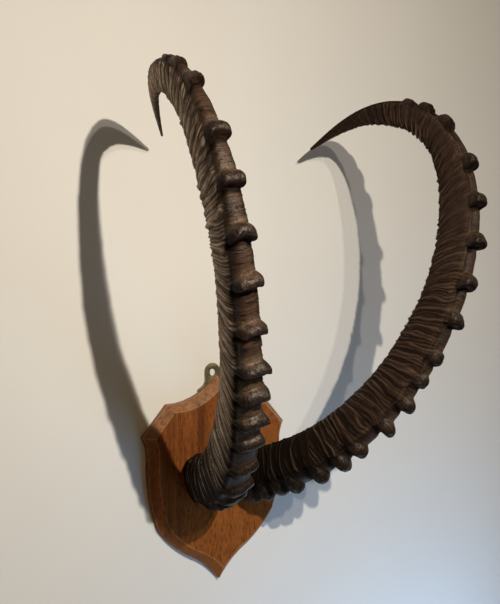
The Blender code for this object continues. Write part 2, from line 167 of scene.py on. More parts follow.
# Heights of the fine relief: broad lumps, pits of the knobs, the rubbed rim and the strands
# beside the front, and the dip behind its outer corner. Then how much of the rim each horn has,
# the sizes of the lumps and pits, and how far and how often the front's edges wander.
LUMP_HEIGHT = 0.0014
PIT_HEIGHT = 0.0012
RIM_HEIGHT = 0.0004
STRAND_HEIGHT = 0.0024
CORNER_DIP = 0.0010
RIM_SHOWN = {"left": 0.8, "right": 0.2}
LUMP_SIZE = 0.021
PIT_SIZE = 0.0046
FINE_PIT_SIZE = 0.0026
EDGE_WANDER = 7
EDGE_WANDER_LENGTH = 0.012
# Radius of the round grain place that the horn's finish reads.
GRAIN_RADIUS = 0.02

# Growth rings: spacing, height, sharpness and slant of the lines, at the section's shares.
RING_PITCH = (0.0074, 0.0066, 0.0056, 0.0046, 0.0040)
RING_HEIGHT = (0.0018, 0.0020, 0.0026, 0.0019, 0.0000)
RING_SHARPNESS = (4.5, 2.6, 1.6, 1.2, 1.0)
OUTER_SLANT = (-0.36, -0.62, 0.44, 0.34, 0.10)
INNER_SLANT = (0.0, 0.15, 0.62, 0.40, 0.10)
# Noise that shifts the rings: strength in rings, cells for each ring and round the horn, seed.
RING_SHIFTS = ((1.5, 0.31, 5, 1), (0.7, 0.8, 11, 2), (0.3, 1.7, 23, 7))

# Rows along each horn, columns round it, how much closer the columns stand at the corners, and
# how much closer the rows stand on the flanks of the knobs.
ROWS = 885
COLUMNS = 112
CORNER_CROWDING = 0.35
FLANK_CROWDING = 0.60
# Points on which a horn's middle line and its profile are worked out.
ROUTE_POINTS = 2401
PROFILE_POINTS = 24001
# The rows start where the horn meets the board: how far before the base they could, the stretch
# that is searched for the board, its halvings, and the length over which the rows even out.
ROOT_REACH = 0.02
BOARD_SEARCH = (-0.03, 0.06)
HALVINGS = 30
EVEN_OUT = 0.07

# Vectors that a horn's surface carries for its finish, and what their three parts say. Under
# marks painted shade, ledge marks a painted highlight, and rim the rubbed rim and strands.
HORN_VECTORS = {
    "masks": ("face", "knob", "ring"),
    "places": ("share", "rear", "shade"),
    "marks": ("rim", "under", "ledge"),
}

# Packed triangles that turn less than the first angle are one flat face, and edges that turn
# more than the second get the rounding.
FLAT_TURN = math.radians(1)
SHARP_TURN = math.radians(25)
MERGE_DISTANCE = 0.01 * MM
PLATE_ROUNDING = 0.0004
PLATE_ROUGHNESS = 0.38
SCREW_ROUGHNESS = 0.34

# Point that the camera looks at.
CAMERA_TARGET = (0.0603, 0.0, 0.2176)
# Lights: place, target, size, power, colour and width of the beam in degrees. The keys cast the
# shadows, the cool one lights from below, and the sheen shows in the gloss alone.
LIGHTS = {
    "key_near": ((-0.279, -1.366, 0.81), (-0.06, 0.0, 0.22), 0.03, 4.7, (1.0, 0.88, 0.70), 90),
    "key_far": ((-0.337, -2.301, 1.244), (0.03, -0.05, 0.22), 0.05, 12.0, (1.0, 0.88, 0.74), 180),
    "cool_low": ((0.38, -0.35, -0.58), (0.15, 0.0, -0.2), 0.4, 3.2, (0.36, 0.64, 1.0), 180),
    "sheen": ((0.95, -1.30, 0.55), (0.0, -0.15, 0.25), 0.7, 3.5, (1.0, 0.84, 0.72), 180),
}
# Studio: edges of the wall across and up, its gap behind the shield, how far its opening stays
# inside the shield's outline, the directions in which that is read and how wide each looks, the
# least that the outline reaches, and the floor's reach.
WALL_ACROSS = (-1.3, 1.3)
WALL_UP = (-1.0, 1.15)
WALL_GAP = 0.0004
OPENING_INSET = 0.012
OPENING_POINTS = 72
OPENING_WINDOW = math.radians(4)
LEAST_REACH = 0.05
FLOOR_REACH = 4.0


class HornSettings(bpy.types.PropertyGroup):
    """Colours and relief of the horns."""

    knob_scale: bpy.props.FloatProperty(
        name="Knob height", description="Height of the knobs against the measured ones",
        default=1.0, min=0.0, max=1.5)
    knob_lean: bpy.props.FloatProperty(
        name="Knob lean", description="How far a knob's crest hangs over towards the base",
        default=0.0018, unit="LENGTH")
    waist: bpy.props.FloatProperty(
        name="Waist", description="Depth of the front between two knobs against the measured one",
        default=1.0, min=0.0, max=2.0)
    # Also the painted shade under the knobs, in the dip behind the front's corner and on the shaded
    # front.
    dark: bpy.props.FloatVectorProperty(
        name="Groove colour", description="Colour of the grooves and of the undersides",
        subtype="COLOR", default=(0.0045, 0.0028, 0.0022))
    side: bpy.props.FloatVectorProperty(
        name="Outer side colour", description="Colour of the growth ridges on the outer sides",
        subtype="COLOR", default=(0.740, 0.590, 0.485))
    inner: bpy.props.FloatVectorProperty(
        name="Inner side colour", description="Colour of the growth ridges on the inner sides",
        subtype="COLOR", default=(0.070, 0.044, 0.033))
    front: bpy.props.FloatVectorProperty(
        name="Front colour", description="Colour of the worn front between the knobs",
        subtype="COLOR", default=(0.098, 0.055, 0.039))
    knob: bpy.props.FloatVectorProperty(
        name="Knob colour", description="Colour of the knobs' crests",
        subtype="COLOR", default=(0.036, 0.020, 0.015))
    # Also the colour of the painted highlight on the ledges above the knobs.
    dust_and_sheen: bpy.props.FloatVectorProperty(
        name="Dust colour", description="Colour of rubbed corners and of dusty ridges at the rear",
        subtype="COLOR", default=(0.300, 0.215, 0.145))


class BoardSettings(bpy.types.PropertyGroup):
    """Colours of the shield."""

    light: bpy.props.FloatVectorProperty(
        name="Light wood", description="Light bands of the stained oak",
        subtype="COLOR", default=(0.230, 0.074, 0.015))
    deep: bpy.props.FloatVectorProperty(
        name="Deep wood", description="Dark bands of the stained oak",
        subtype="COLOR", default=(0.095, 0.027, 0.008))
    pore: bpy.props.FloatVectorProperty(
        name="Pores", description="Colour of the pores, which hold old stain",
        subtype="COLOR", default=(0.030, 0.008, 0.003))
    worn: bpy.props.FloatVectorProperty(
        name="Worn edge", description="Wood that shows where the stain is rubbed off",
        subtype="COLOR", default=(0.480, 0.230, 0.090))
    # Dust, with a painted highlight, on the bevels that face upwards.
    dust_and_sheen: bpy.props.FloatVectorProperty(
        name="Dust", description="Dust on the bevels that face upwards",
        subtype="COLOR", default=(0.400, 0.300, 0.210))
    rounding: bpy.props.FloatProperty(
        name="Edge rounding", description="Width of the rounding on the board's edges",
        default=0.0009, unit="LENGTH")


class MetalSettings(bpy.types.PropertyGroup):
    """Colours of the hanger plate and the screws."""

    plate: bpy.props.FloatVectorProperty(
        name="Plate colour", description="Tarnished metal of the hanger plate",
        subtype="COLOR", default=(0.230, 0.200, 0.125))
    tarnish: bpy.props.FloatVectorProperty(
        name="Tarnish", description="Dark tarnish on the plate and the screws",
        subtype="COLOR", default=(0.040, 0.042, 0.032))
    screw: bpy.props.FloatVectorProperty(
        name="Screw colour", description="Dull steel of the screws",
        subtype="COLOR", default=(0.300, 0.280, 0.240))


class StudioSettings(bpy.types.PropertyGroup):
    """Camera and backdrop."""

    azimuth: bpy.props.FloatProperty(
        name="Camera azimuth", description="Angle from which the camera looks, from the left",
        default=math.radians(39.5), subtype="ANGLE")
    elevation: bpy.props.FloatProperty(
        name="Camera elevation", description="Angle of the camera above the level",
        default=math.radians(0.5), subtype="ANGLE")
    roll: bpy.props.FloatProperty(
        name="Camera roll", description="Turn of the camera about its own axis",
        default=math.radians(-0.69), subtype="ANGLE")
    distance: bpy.props.FloatProperty(
        name="Camera distance", description="Distance from the camera to its target",
        default=1.145, unit="LENGTH")
    lens: bpy.props.FloatProperty(
        name="Lens", description="Focal length on a sensor 36 mm wide, in mm", default=63.73)
    wall: bpy.props.FloatVectorProperty(
        name="Wall colour", description="Colour of the backdrop and the floor",
        subtype="COLOR", default=(0.64, 0.65, 0.66))


SETTINGS = {
    "ibex_horn": HornSettings,
    "ibex_board": BoardSettings,
    "ibex_metal": MetalSettings,
    "ibex_studio": StudioSettings,
}


def natural_spline(points, at):
    """Natural cubic spline through evenly numbered points, read at shares of its run.

    Each stretch is the straight line between its two points plus a cubic that bends it, so
    that slope and curvature run on from one stretch to the next and the ends are straight.
    """
    count = len(points)
    system = np.eye(count) * 4 + np.eye(count, k=1) + np.eye(count, k=-1)
    system[0, :2] = (1, 0)
    system[-1, -2:] = (0, 1)
    bend = np.zeros_like(points)
    bend[1:-1] = 6 * (points[2:] - 2 * points[1:-1] + points[:-2])
    bend = np.linalg.solve(system, bend)
    place = np.asarray(at) * (count - 1)
    cell = np.clip(place.astype(int), 0, count - 2)
    b = (place - cell)[:, None]
    a = 1 - b
    curved = (a ** 3 - a) * bend[cell] + (b ** 3 - b) * bend[cell + 1]
    return a * points[cell] + b * points[cell + 1] + curved / 6


def smooth(value):
    """Smooth step: 3 v squared minus 2 v cubed, with v held between 0 and 1."""
    value = np.clip(value, 0, 1)
    return value * value * (3 - 2 * value)


def rise(value, start, width):
    """A smooth step that begins at a start and is complete one width further on."""
    return smooth((value - start) / width)


def hump(value, centre, width):
    """A bell of height 1: e to the power of minus the square of the distance in widths."""
    return np.exp(-((value - centre) / width) ** 2)


def swing(count):
    """A cosine hump from 0 to 1 for each whole number."""
    return 0.5 - 0.5 * np.cos(2 * np.pi * count)


def signed_power(value, power):
    """Power of a value that keeps its sign."""
    return np.sign(value) * np.abs(value) ** power


def degrees_round(angle):
    """Angle round a horn in degrees, from -180 to 180."""
    return np.degrees(np.arctan2(np.sin(angle), np.cos(angle)))


def scatter(x, y, seed):
    """A repeatable value from 0 to 1 for each pair of whole numbers: the fraction of a big sine."""
    x_turn, y_turn, seed_turn, size = 127.1, 311.7, 74.7, 43758.5453
    return np.mod(np.sin(x * x_turn + y * y_turn + seed * seed_turn) * size, 1.0)


def soft_noise(x, y, seed, wrap=None):
    """Noise from 0 to 1: scattered values on a lattice, blended by smooth steps in x and y."""
    x0 = np.floor(x)
    y0 = np.floor(y)
    fx = smooth(x - x0)
    fy = smooth(y - y0)
    y1 = y0 + 1
    if wrap is not None:
        y0 = np.mod(y0, wrap)
        y1 = np.mod(y1, wrap)
    low = scatter(x0, y0, seed) * (1 - fx) + scatter(x0 + 1, y0, seed) * fx
    high = scatter(x0, y1, seed) * (1 - fx) + scatter(x0 + 1, y1, seed) * fx
    return low * (1 - fy) + high * fy


def knob_profile(offset, behind, ahead, slope, flap):
    """Share of a knob's height at an offset along the horn from its crest.

    Behind the crest it is a superellipse. Ahead of it, it is the fourth-power sum of a shorter
    superellipse and a slope that falls with the square and is higher for more of a flap.
    """
    base = np.clip(1 - np.abs(np.minimum(offset, 0) / behind) ** 2.2, 0, 1) ** 0.45
    roll = np.clip(1 - (np.maximum(offset, 0) / ahead) ** 2.1, 0, 1) ** 0.5
    ramp = (0.18 + 0.6 * flap) * np.clip(1 - offset / slope, 0, 1) ** 2
    return np.where(offset < 0, base, (roll ** 4 + ramp ** 4) ** 0.25)


class HornShape:
    """One horn as a surface of two parameters: distance along it, and angle round it.

    The angle is 0 at the middle of the front, a quarter turn on the outer side and half a turn
    at the rear. A point is the middle line plus the rounded section, then pushed out along the
    section's own outward direction by the knobs and the fine relief.
    """

    def __init__(self, side, settings):
        self.side = side
        self.sign = SIDES[side]
        self.settings = settings
        self.seed = SEEDS[side]
        route = np.array(HORN_ROUTES[side], float) * MM * (self.sign, -1, 1)
        self.points = natural_spline(route, np.linspace(0, 1, ROUTE_POINTS))
        steps = np.linalg.norm(np.diff(self.points, axis=0), axis=1)
        self.distance = np.concatenate([[0.0], np.cumsum(steps)])
        self.direction = np.gradient(self.points, self.distance, axis=0)
        self.length = self.distance[-1]
        self.ring_count = self.phase_table()

    def noise_round(self, x, around, cells, seed):
        """Noise that closes round the horn, with a number of cells in one turn."""
        return soft_noise(x, around * cells, self.seed + seed, cells)

    def share_of(self, along, values):
        """Read a list that is given at the section's shares."""
        return np.interp(along / self.length, SECTION_AT, values)

    def phase_table(self):
        """Number of growth rings up to each distance: the sum of one over their spacing."""
        pitch = self.share_of(self.distance, RING_PITCH)
        steps = np.diff(self.distance) * 2 / (pitch[1:] + pitch[:-1])
        return np.concatenate([[0.0], np.cumsum(steps)])

    def axes(self, along):
        """Middle point, direction, front and outer side at each distance."""
        inside = np.clip(along, 0, self.length)
        middle = np.stack([np.interp(inside, self.distance, self.points[:, i])
                           for i in range(3)], axis=-1)
        run = np.stack([np.interp(inside, self.distance, self.direction[:, i])
                        for i in range(3)], axis=-1)
        run /= np.linalg.norm(run, axis=-1, keepdims=True)
        middle = middle + run * (along - inside)[..., None]
        turn = np.radians(self.share_of(inside, FRONT_TURN))
        across = np.stack([self.sign * np.cos(turn), np.sin(turn), 0 * turn], axis=-1)
        across -= run * np.sum(run * across, axis=-1, keepdims=True)
        across /= np.linalg.norm(across, axis=-1, keepdims=True)
        front = -self.sign * np.cross(run, across)
        roll = np.radians(self.share_of(inside, FRONT_ROLL))[..., None]
        rolled = front * np.cos(roll) - across * np.sin(roll)
        return middle, run, rolled, across * np.cos(roll) + front * np.sin(roll)

    def knob_ends(self, at, degrees):
        """How knobs change round the horn: how full they are, their bow, their ball, their length.

        They fade on the outer side by a smooth step, and on the inner side as a superellipse or,
        where they are soft, by a gentler step. The bow grows with the square of the angle. The
        ball is a bell at the inner corner, and knobs shorten towards both ends.
        """
        soft = (1 - rise(at, *SOFT_KNOBS_END)) * KNOB_SOFTNESS[self.side]
        outer = 1 - rise(degrees, *KNOB_OUTER_END)
        start, width = KNOB_INNER_END
        inner = np.clip((-degrees - start) / width, 0, 1)
        inner = np.sqrt(np.clip(1 - inner ** 2.4, 0, 1))
        inner = inner + (1 - rise(-degrees, *SOFT_INNER_END) - inner) * soft
        sag = KNOB_SAG + np.where(degrees > 0, UPPER_DROOP, 0.0) * rise(at, *DROOP_START)
        bow = sag * np.clip(degrees / 60, -1.4, 1.4) ** 2 - KNOB_RISE[self.side]
        ball = 0.86 + 0.30 * hump(degrees, *BALL_BELL) * (1 - soft)
        length = (0.55 + 0.45 * np.minimum(outer, inner)) * KNOB_LENGTH[self.side]
        return outer * inner, bow, ball, length * (0.84 + 0.16 * hump(degrees, *LONG_BELL))

    def folds(self, at, degrees):
        """Height of the low folds in which knobs run on along both sides: steps up and down."""
        inner, outer = (rise(turn, *start) * (1 - rise(turn, *end))
                        for turn, (start, end) in ((-degrees, FOLD_INNER), (degrees, FOLD_OUTER)))
        strong = 1 - rise(at, *STRONG_FOLDS_END)
        low = (0.13 + 0.20 * strong) * np.maximum(inner, 0.8 * outer)
        return low + 0.45 * rise(at, *TOP_FOLDS_START) * outer

    def knobs(self, along, degrees, slanted):
        """Height of the knobs, their share of it, the hollow under each and the ledge above.

        Along the horn a knob follows its profile, and the highest of all knobs and folds counts.
        Its crest wanders and its height varies by noise. The hollow is a bell below the knob
        and its underside, where the finish paints shade. The ledge is a bell above it, with a
        narrow one at the roll's end, where the finish paints a highlight.
        """
        at = along / self.length
        hold, bow, ball, length = self.knob_ends(at, degrees)
        fold = self.folds(at, degrees)
        lip_shown = (1 - rise(degrees, *LIP_OUTER_END)) * (1 - rise(-degrees, *LIP_INNER_END))
        height, share, hollow, ledge = (np.zeros_like(along) for _ in range(4))
        for number, (place, tall, to_base, to_tip, flap) in enumerate(HORN_KNOBS[self.side]):
            row = along * 0 + number
            wave = soft_noise(degrees / 21 + 40, row, self.seed) - 0.5
            uneven = 0.88 + 0.24 * soft_noise(degrees / 12 + 40, row, self.seed + 5)
            offset = along - place * MM - wave * CREST_WANDER + bow
            behind = to_base * length * MM
            part = hold * knob_profile(offset, behind, ROLL_REACH * length * MM, to_tip * MM, flap)
            side = fold * hump(slanted, place * MM + 0.001, 0.6 * to_base * MM)
            height = np.maximum(height, tall * MM * np.maximum(part * ball * uneven, side))
            share = np.maximum(share, np.clip(part, 0, 1))
            gap = np.maximum(hump(offset, -behind - 0.0022, 0.0032),
                             part * rise(-offset, 0.0012, 0.0045))
            hollow = np.maximum(hollow, gap * np.clip(tall / 5, 0, 1))
            shelf = hump(offset, 0.004 + 0.45 * to_tip * MM, 0.0034) * hold * (0.35 + 0.65 * flap)
            lip = 0.7 * hump(offset, LIP_REACH * length * MM, 0.0010) * lip_shown
            ledge = np.maximum(ledge, np.maximum(shelf, lip))
        return height * self.settings.knob_scale, share, hollow, ledge

    def slant(self, along, angle):
        """Distance along the horn that a growth line keeps as it runs round it."""
        back = np.clip((1 - np.cos(angle)) / 2 - 0.16, 0, 1) / 0.84
        outer = smooth(0.5 + np.sin(angle))
        drop = self.share_of(along, OUTER_SLANT) * back * outer
        drop = drop + self.share_of(along, INNER_SLANT) * back ** 1.8 * (1 - outer)
        return along + drop * self.share_of(along, SECTION_DEPTH)

    def rings(self, along, angle, slanted):
        """Height of the growth rings, from 0 to about 1.3.

        The lines are level sets of the slanted distance, counted in rings. A line is a cosine
        hump raised to a sharpness, its place and height shifted by noise. Patches of a closer
        set cut across it, so that lines fork and end, and broad and fine humps are added.
        """
        count = np.interp(slanted, self.distance, self.ring_count)
        count = count + (slanted - np.clip(slanted, 0, self.length)) / RING_PITCH[0]
        around = angle / (2 * np.pi)
        for strength, cells, cells_round, seed in RING_SHIFTS:
            count = count + strength * self.noise_round(count * cells, around, cells_round, seed)
        sharp = self.share_of(along, RING_SHARPNESS)
        wide = swing(count) ** sharp
        wide = wide * (0.62 + 0.38 * scatter(np.floor(count), 0 * count, self.seed + 3))
        close = count * 1.71 + 2.0 * self.noise_round(count * 0.5, around, 6, 8)
        tight = swing(close) ** sharp
        tight = tight * (0.35 + 0.50 * scatter(np.floor(close), 0 * close, self.seed + 9))
        patch = rise(self.noise_round(count * 0.24, around, 6, 10), 0.42, 0.22)
        broken = 0.55 + 0.45 * self.noise_round(count * 0.9, around, 19, 4)
        bold = swing(count * 0.47 + 0.2 * self.seed)
        fine = swing(count * 2.9 + 2 * around)
        lines = (wide * (1 - patch) + tight * patch) * broken * (0.66 + 0.34 * bold)
        return lines + 0.22 * bold + 0.10 * fine

    def section(self, along, angle):
        """Offsets of the plain section, towards the front and across.

        They are the half depth and half width times the cosine and sine to a power below one.
        The width runs from the rear's to the front's in step with the first of them.
        """
        forward = signed_power(np.cos(angle), SECTION_POWER)
        sideways = signed_power(np.sin(angle), SECTION_POWER)
        front_width = self.share_of(along, SECTION_FRONT)
        rear_width = self.share_of(along, SECTION_REAR)
        width = rear_width + (front_width - rear_width) * (1 + forward) / 2
        return self.share_of(along, SECTION_DEPTH) / 2 * forward, width / 2 * sideways

    def beside_front(self, along, degrees, wander, plain):
        """The rubbed rim and the strands at the front's inner corner: bells broken by noise."""
        rubbed = rise(soft_noise(along / 0.026, 0 * along, self.seed + 15), 0.35, 0.25)
        weave = 7 * soft_noise(along / 0.019, degrees / 30 + 40, self.seed + 17)
        strands = soft_noise(along / 0.013, (degrees + weave) / 5 + 40, self.seed + 16) - 0.5
        strands = strands * hump(degrees, *STRAND_BELL) * plain
        rim = hump(degrees + 0.6 * wander, *RIM_BELL) * plain * rubbed
        return rim * smooth(strands * 3 + 0.6) * RIM_SHOWN[self.side], strands

    def pits(self, along, around):
        """Small pits: the sum of two sizes of noise."""
        coarse = self.noise_round(along / PIT_SIZE, around, 30, 12) - 0.5
        return coarse + 0.7 * (self.noise_round(along / FINE_PIT_SIZE, around, 52, 14) - 0.5)

    def surface(self, along, angle):
        """Points of the horn and what its finish needs: a grain place and three vectors.

        The relief is the rings where neither front nor knob covers them, lower on the calm
        inner side, plus lumps, pits, rim and strands, less the hollow of the front.
        """
        at = along / self.length
        around = angle / (2 * np.pi)
        degrees = degrees_round(angle)
        slanted = self.slant(along, angle)
        height, share, hollow, ledge = self.knobs(along, degrees, slanted)
        rings = self.rings(along, angle, slanted)
        off_tip = 1 - rise(at, *TIP_START)
        rear = rise(-np.cos(angle), 0.1, 0.8)
        wander = soft_noise(along / EDGE_WANDER_LENGTH, 0 * along, self.seed + 13) - 0.5
        wander = EDGE_WANDER * wander
        front_mask = 1 - np.where(degrees > 0, rise(degrees - wander, *FRONT_OUTER_END),
                                  rise(-degrees - wander, *FRONT_INNER_END))
        face = np.where(degrees > 0, rise(np.cos(angle), *HOLLOW_OUTER_START),
                        rise(np.cos(angle), *HOLLOW_INNER_START))
        calm = (1 - rise(degrees, *CALM_OUTER_END)) * (1 - rise(-degrees, *CALM_INNER_END))
        calm = calm * rise(at, *CALM_SIDE_START) * off_tip
        rim, strands = self.beside_front(along, degrees, wander, (1 - share) * off_tip)
        corner = hump(np.cos(angle), *CORNER_BELL) * np.clip(np.sin(angle), 0, 1)
        corner = corner * (1 - 0.8 * rise(at, *CORNER_DIP_END))

        keep = (1 - 0.88 * front_mask) * (1 - share) * (1 - 0.66 * calm)
        level = self.share_of(along, RING_HEIGHT) * (rings - 0.25) * keep * (1 + 0.6 * rear)
        lumps = self.noise_round(along / LUMP_SIZE, around, 6, 6) - 0.5
        sink = self.settings.waist * self.share_of(along, FRONT_SINK)
        sunk = sink * face * (1 + 0.6 * hollow) + CORNER_DIP * corner
        level = level + LUMP_HEIGHT * lumps * off_tip - sunk * off_tip * (1 - share)
        level = level + PIT_HEIGHT * self.pits(along, around) * share
        level = level + RIM_HEIGHT * rim + STRAND_HEIGHT * strands

        middle, run, front, across = self.axes(along)
        out, wide = self.section(along, angle)
        push_out = np.cos(angle)
        push_wide = SIDEWAYS_SHARE * np.sin(angle)
        push = (height + level) / np.hypot(push_out, push_wide)
        out = out + push * push_out
        wide = wide + push * push_wide
        lean = self.settings.knob_lean * share * np.clip(height / FULL_LEAN_HEIGHT, 0, 1)
        points = (middle + out[..., None] * front + wide[..., None] * across
                  - lean[..., None] * run)

        plain = np.maximum(0.72 * calm, rise(at, *PLAIN_TIP_START))
        lines = rings * (1 - plain) + 0.36 * plain
        # Painted shade: the right horn's front and knobs are darkened in colour.
        shade = np.full_like(along, PAINTED_FRONT_SHADE[self.side])
        # Painted shade: under marks the hollow below each knob and the knobs' outer ends, and the dip
        # behind the front's outer corner is added to it; the finish turns all of it dark.
        ends = 1 - 0.85 * rise(at, *CLEAR_ENDS_START)
        under = np.maximum(hollow * smooth((66 - np.abs(degrees - 6)) / 16),
                           share * rise(degrees, 16, 34) * ends)
        vectors = {
            "grain": (GRAIN_RADIUS * np.cos(angle), GRAIN_RADIUS * np.sin(angle), slanted),
            "masks": (front_mask * off_tip, share, lines * (1 - front_mask)),
            "places": (at, rear, shade),
            "marks": (0.5 * rim + 0.9 * np.clip(strands, 0, 1),
                      np.clip(under + 0.7 * corner, 0, 1), ledge),
        }
        return points, {name: np.stack(parts, axis=-1) for name, parts in vectors.items()}

    def stations(self):
        """Distances for the rows: even steps along the knobbed profile, so knobs get more rows."""
        fine = np.linspace(-ROOT_REACH, self.length, PROFILE_POINTS)
        height = self.knobs(fine, np.full_like(fine, -30), fine)[0]
        travel = np.diff(fine) + FLANK_CROWDING * np.abs(np.diff(height))
        run = np.concatenate([[0.0], np.cumsum(travel)])
        return np.interp(np.linspace(0, run[-1], ROWS), run, fine)

    def grid(self):
        """Rows and columns of distance and angle, with the first row on the board's face."""
        even = np.linspace(0, 2 * np.pi, COLUMNS, endpoint=False)
        angle = even + CORNER_CROWDING / 4 * np.sin(4 * even)
        near, far = (np.full(COLUMNS, end) for end in BOARD_SEARCH)
        for _ in range(HALVINGS):
            half = (near + far) / 2
            hidden = self.surface(half, angle)[0][:, 1] > BOARD_FRONT - GAP
            near = np.where(hidden, half, near)
            far = np.where(hidden, far, half)
        rows = self.stations()
        evened = np.clip((rows - rows[0]) / EVEN_OUT, 0, 1)[:, None]
        along = rows[:, None] + (far[None, :] - rows[0]) * (1 - evened)
        return along, np.broadcast_to(angle, along.shape)


def mesh_grid(name, points, flip, cap_start, cap_end):
    """A closed tube from rows of points that run round, with a point that closes each end."""
    rows, columns = points.shape[:2]
    index = np.arange(rows * columns).reshape(rows, columns)
    beside = np.roll(index, -1, axis=1)
    quads = np.stack([index[:-1], beside[:-1], beside[1:], index[1:]], axis=-1).reshape(-1, 4)
    first = rows * columns
    start = np.stack([beside[0], index[0], np.full(columns, first)], axis=-1)
    end = np.stack([index[-1], beside[-1], np.full(columns, first + 1)], axis=-1)
    faces = [quads, start, end]
    if flip:
        faces = [part[:, ::-1] for part in faces]
    mesh = bpy.data.meshes.new(name)
    everything = np.concatenate([points.reshape(-1, 3), [cap_start, cap_end]])
    mesh.from_pydata(everything.tolist(), [], [face for part in faces for face in part.tolist()])
    mesh.shade_smooth()
    return mesh


def make_horn(side, settings):
    """Mesh of one horn with the vectors that its finish reads."""
    shape = HornShape(side, settings)
    points, vectors = shape.surface(*shape.grid())
    base, before, tip = (points[row].mean(axis=0) for row in (0, -4, -1))
    # The point that closes the tip stands on from the last row, as the rows before it run.
    tip = tip + (tip - before) * 0.5
    mesh = mesh_grid("horn_" + side + "_grown", points, shape.sign < 0, base, tip)
    for name, values in vectors.items():
        ends = [values[0].mean(axis=0), values[-1].mean(axis=0)]
        layer = mesh.attributes.new(name, "FLOAT_VECTOR", "POINT")
        everything = np.concatenate([values.reshape(-1, 3), ends])
        layer.data.foreach_set("vector", np.asarray(everything, np.float32).ravel())
    return mesh


def add_piece(mesh, node, material):
    """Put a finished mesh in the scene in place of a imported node."""
    piece = bpy.data.objects.new(mesh.name, mesh)
    bpy.context.scene.collection.objects.link(piece)
    mesh.materials.clear()
    mesh.materials.append(material)
    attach(piece, "root")
    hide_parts(node)
    return piece


class Nodes:
    """A short way to place shader nodes and link them."""

    def __init__(self, tree):
        self.tree = tree

    def add(self, kind, values=None, **options):
        """Add a node, set its options, and give its inputs values or links."""
        node = self.tree.nodes.new(kind)
        for key, value in options.items():
            setattr(node, key, value)
        for key, value in (values or {}).items():
            self.feed(node.inputs[key], value)
        return node

    def feed(self, socket, value):
        """Link a socket to another one, or set its value."""
        if isinstance(value, bpy.types.NodeSocket):
            self.tree.links.new(value, socket)
        elif hasattr(value, "__len__") and len(value) == 3 and socket.type == "RGBA":
            socket.default_value = (*value, 1.0)
        else:
            socket.default_value = value

    def math(self, operation, first, second, clamp):
        """One node that works out a number from two, held between 0 and 1 if it is clamped."""
        return self.add("ShaderNodeMath", {0: first, 1: second}, operation=operation,
                        use_clamp=clamp).outputs[0]

    def plus(self, first, second, clamp=False):
        """The sum of two numbers."""
        return self.math("ADD", first, second, clamp)

    def minus(self, first, second, clamp=False):
        """The first number less the second."""
        return self.math("SUBTRACT", first, second, clamp)

    def times(self, first, second, clamp=False):
        """The product of two numbers."""
        return self.math("MULTIPLY", first, second, clamp)

    def most(self, first, second):
        """The greater of two numbers."""
        return self.math("MAXIMUM", first, second, False)

    def blend(self, share, first, second):
        """Mix two colours. A mix node has them at inputs 6 and 7 and at output 2."""
        node = self.add("ShaderNodeMix", data_type="RGBA", clamp_factor=True)
        self.feed(node.inputs[0], share)
        self.feed(node.inputs[6], first)
        self.feed(node.inputs[7], second)
        return node.outputs[2]

    def span(self, value, low, high, to_low=0.0, to_high=1.0):
        """Map a range of numbers to another one, held at its ends."""
        node = self.add("ShaderNodeMapRange", {0: value, 1: low, 2: high, 3: to_low, 4: to_high})
        return node.outputs[0]

    def noise(self, place, scale, detail=3.0, roughness=0.55, stretch=None):
        """Noise of a scale, as a number, on a place whose axes may be scaled first."""
        if stretch:
            place = self.add("ShaderNodeMapping", {"Vector": place, "Scale": stretch}).outputs[0]
        return self.add("ShaderNodeTexNoise", {"Vector": place, "Scale": scale, "Detail": detail,
                                               "Roughness": roughness}).outputs[0]

    def bump(self, height, distance, strength):
        """A normal tilted by the slope of a height."""
        return self.add("ShaderNodeBump", {"Height": height, "Distance": distance,
                                           "Strength": strength}).outputs[0]

    def attribute(self, name):
        """A vector that the surface carries."""
        return self.add("ShaderNodeAttribute", attribute_name=name).outputs["Vector"]

    def parts(self, vector):
        """The three parts of a vector."""
        return self.add("ShaderNodeSeparateXYZ", {0: vector}).outputs

    def object_place(self):
        """The place on the piece, in metres."""
        return self.add("ShaderNodeTexCoord").outputs["Object"]


def new_material(name):
    """A material with an empty tree, its Principled shader and its output."""
    material = bpy.data.materials.new(name)
    material.use_nodes = True
    tree = material.node_tree
    tree.nodes.clear()
    nodes = Nodes(tree)
    shader = nodes.add("ShaderNodeBsdfPrincipled")
    nodes.add("ShaderNodeOutputMaterial", {"Surface": shader.outputs[0]})
    return material, nodes, shader


def new_group(name, inputs, outputs):
    """A shader node group with named sockets: its tree, its nodes, its input and its output."""
    tree = bpy.data.node_groups.new(name, "ShaderNodeTree")
    tree.interface.new_socket("Place", in_out="INPUT", socket_type="NodeSocketVector")
    for label, value in inputs.items():
        socket = tree.interface.new_socket(label, in_out="INPUT", socket_type="NodeSocketFloat")
        socket.default_value = value
    for label in outputs:
        tree.interface.new_socket(label, in_out="OUTPUT", socket_type="NodeSocketFloat")
    nodes = Nodes(tree)
    return tree, nodes, nodes.add("NodeGroupInput").outputs, nodes.add("NodeGroupOutput").inputs


def make_grime(name):
    """Uneven grime: two sizes of noise, sharpened to patches."""
    tree, nodes, start, end = new_group(name, {"Scale": 60.0, "Amount": 0.5}, ("Mask", "Fine"))
    coarse = nodes.noise(start["Place"], start["Scale"], 4.0, 0.6)
    fine = nodes.noise(start["Place"], nodes.times(start["Scale"], 7.0), 3.0, 0.6)
    mask = nodes.span(nodes.plus(nodes.times(coarse, 0.7), nodes.times(fine, 0.3)), 0.40, 0.62)
    nodes.feed(end["Mask"], nodes.times(mask, start["Amount"], True))
    nodes.feed(end["Fine"], fine)
    return tree


